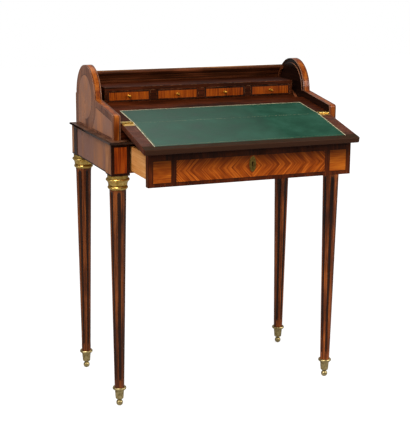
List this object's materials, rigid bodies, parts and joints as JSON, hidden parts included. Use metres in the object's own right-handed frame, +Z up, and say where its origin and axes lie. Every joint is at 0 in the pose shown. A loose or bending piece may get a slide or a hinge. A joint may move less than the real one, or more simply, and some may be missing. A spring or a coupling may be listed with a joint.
{
  "type": "mechanical desk",
  "caption": "Lady's writing desk on fluted legs: a slatted cylinder lid linked to the main drawer, a leather-lined folding flap, and small drawers in a nest behind it.",
  "frame": {"origin": "on the floor, under the middle of the desk's box with the drawer and flap open", "axes": "+X to the right as seen from the front, +Y to the back, +Z up"},
  "size_m": [0.678, 0.517, 0.885],
  "materials": {
    "leg_wood": "dark red-brown turned and fluted wood, polished",
    "brass": "old lacquered brass, darker in its hollows",
    "steel": "filed and darkened steel",
    "frieze_veneer": "orange-brown veneer in dark borders, polished",
    "cheek_veneer": "orange-brown veneer with dark crossbanding, polished",
    "front_marquetry": "herringbone veneer between dark bands, polished",
    "small_front_veneer": "upright-grained orange veneer in a dark border",
    "leather": "green leather with a tooled gilt line",
    "drawer_wood": "plain honey-coloured wood, rubbed",
    "moulding_wood": "dark wood, worn lighter on its edge",
    "carcass_wood": "stained plain wood",
    "lid_wood": "dark wood slats, polished",
    "dark_wood": "dark red-brown wood, polished"
  },
  "bodies": {
    "carcass": {"leg_front_left": "leg_wood", "leg_front_right": "leg_wood", "leg_rear_left": "leg_wood", "leg_rear_right": "leg_wood", "capital_rings": "brass", "sabots": "brass", "corner_post_front_left": "frieze_veneer", "corner_post_front_right": "frieze_veneer", "corner_post_rear_left": "frieze_veneer", "corner_post_rear_right": "frieze_veneer", "side_panel_left": "frieze_veneer", "side_panel_right": "frieze_veneer", "back_panel": "frieze_veneer", "waist_moulding": "moulding_wood", "cheek_seats": "moulding_wood", "front_rail": "moulding_wood", "drawer_runners": "drawer_wood", "dust_board": "carcass_wood", "cheek_left": "cheek_veneer", "cheek_right": "cheek_veneer", "back_board": "carcass_wood", "curved_back": "carcass_wood", "writing_board": "dark_wood", "writing_board_leather": "leather", "hinge_leaves_fixed": "brass", "hinge_pins": "steel", "hinge_board": "dark_wood", "nest_base": "dark_wood", "nest_shelf": "dark_wood", "nest_uprights": "dark_wood", "nest_back": "dark_wood", "nest_bearers": "carcass_wood"},
    "main_drawer": {"drawer_front": "front_marquetry", "drawer_sides": "drawer_wood", "drawer_back": "drawer_wood", "drawer_bottom": "drawer_wood", "lock_case": "steel", "escutcheon": "brass", "lid_forks": "steel"},
    "lock_bolt": {"lock_bolt": "steel"},
    "flap": {"flap_board": "dark_wood", "flap_leather": "leather", "hinge_leaves_flap": "brass"},
    "lid": {"lid_slats": "lid_wood", "lid_end_left": "lid_wood", "lid_end_right": "lid_wood", "lid_pins": "steel"},
    "small_drawer_1": {"small_drawer_1_front": "small_front_veneer", "small_drawer_1_box": "drawer_wood", "small_drawer_1_knob": "brass"},
    "small_drawer_2": {"small_drawer_2_front": "small_front_veneer", "small_drawer_2_box": "drawer_wood", "small_drawer_2_knob": "brass"},
    "small_drawer_3": {"small_drawer_3_front": "small_front_veneer", "small_drawer_3_box": "drawer_wood", "small_drawer_3_knob": "brass"},
    "small_drawer_4": {"small_drawer_4_front": "small_front_veneer", "small_drawer_4_box": "drawer_wood", "small_drawer_4_knob": "brass"}
  },
  "joints": [
    {"name": "drawer_slide", "type": "slide", "parent": "carcass", "child": "main_drawer", "axis": [0, -1, 0], "range_m": [-0.133, 0]},
    {"name": "lid_turn", "type": "hinge", "parent": "carcass", "child": "lid", "pos_m": [0, 0.16499, 0.799], "axis": [-1, 0, 0], "range_deg": [-129.01, 0]},
    {"name": "flap_fold", "type": "hinge", "parent": "carcass", "child": "flap", "pos_m": [0, -0.08151, 0.7615], "axis": [1, 0, 0], "range_deg": [-184.54, 0]},
    {"name": "lock_bolt_slide", "type": "slide", "parent": "main_drawer", "child": "lock_bolt", "axis": [0, 0, 1], "range_m": [0, 0.004]},
    {"name": "small_drawer_1_slide", "type": "slide", "parent": "carcass", "child": "small_drawer_1", "axis": [0, -1, 0], "range_m": [0, 0.06]},
    {"name": "small_drawer_2_slide", "type": "slide", "parent": "carcass", "child": "small_drawer_2", "axis": [0, -1, 0], "range_m": [0, 0.06]},
    {"name": "small_drawer_3_slide", "type": "slide", "parent": "carcass", "child": "small_drawer_3", "axis": [0, -1, 0], "range_m": [0, 0.06]},
    {"name": "small_drawer_4_slide", "type": "slide", "parent": "carcass", "child": "small_drawer_4", "axis": [0, -1, 0], "range_m": [0, 0.06]}
  ],
  "couplings": [
    {"joint": "lid_turn", "follows": "drawer_slide", "rad_per_m": 16.928}
  ]
}
